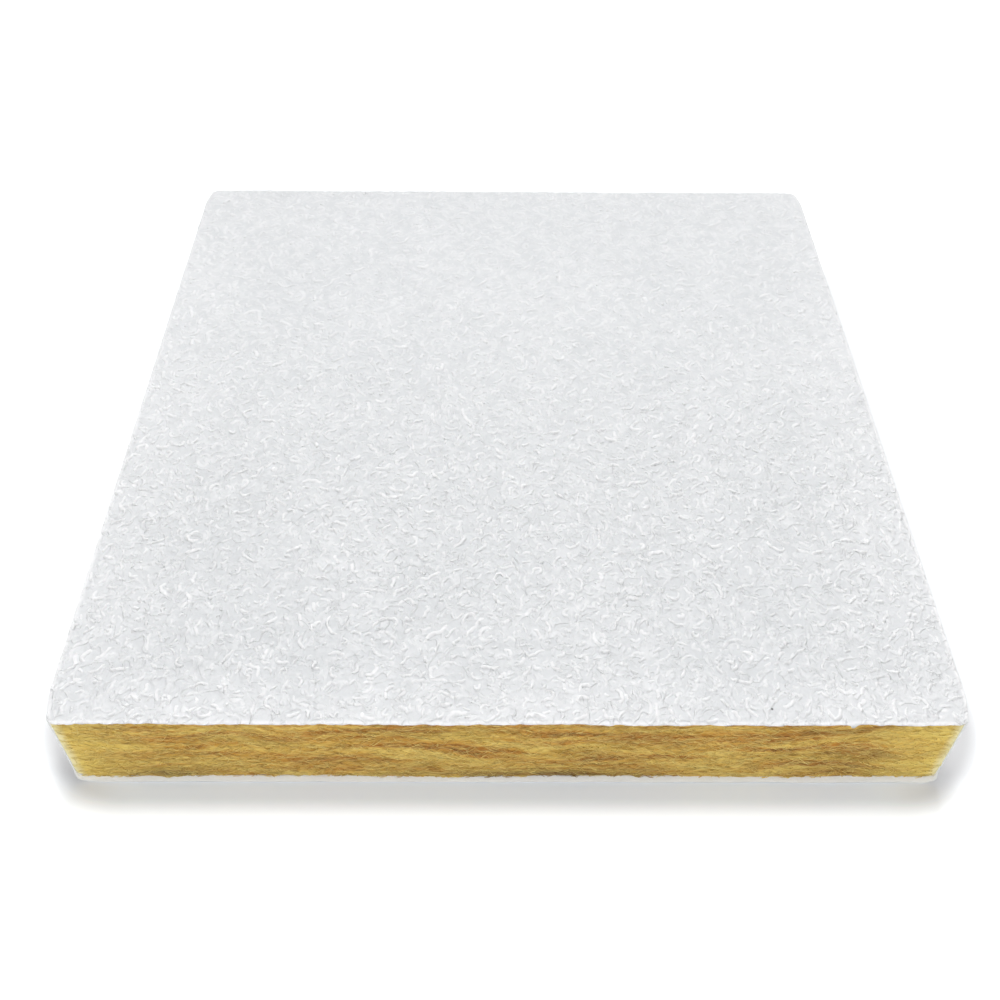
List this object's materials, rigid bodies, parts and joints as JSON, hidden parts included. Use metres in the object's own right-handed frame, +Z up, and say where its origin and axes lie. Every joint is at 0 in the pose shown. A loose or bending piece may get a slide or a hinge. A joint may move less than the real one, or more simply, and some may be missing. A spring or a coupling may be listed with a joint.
{
  "type": "glass wool ceiling tile",
  "caption": "Square lay-in ceiling tile: a bonded glass wool board with a white embossed face film and a white tissue wrapped round its back and long sides.",
  "frame": {"origin": "middle of the tile's underside, on the floor it lies on", "axes": "+Z up through the thickness towards the embossed face, +Y away from the raw cut end that faces -Y, +X along that cut end"},
  "size_m": [0.3, 0.3, 0.04],
  "materials": {
    "glass_wool": "raw cut fibres in wavy layers, matte",
    "face_film": "embossed with short worm-like ridges, satin",
    "back_tissue": "non-woven glass tissue, matte"
  },
  "bodies": {
    "root": {"wool_core": "glass_wool", "face_film": "face_film", "back_tissue": "back_tissue"}
  },
  "joints": []
}
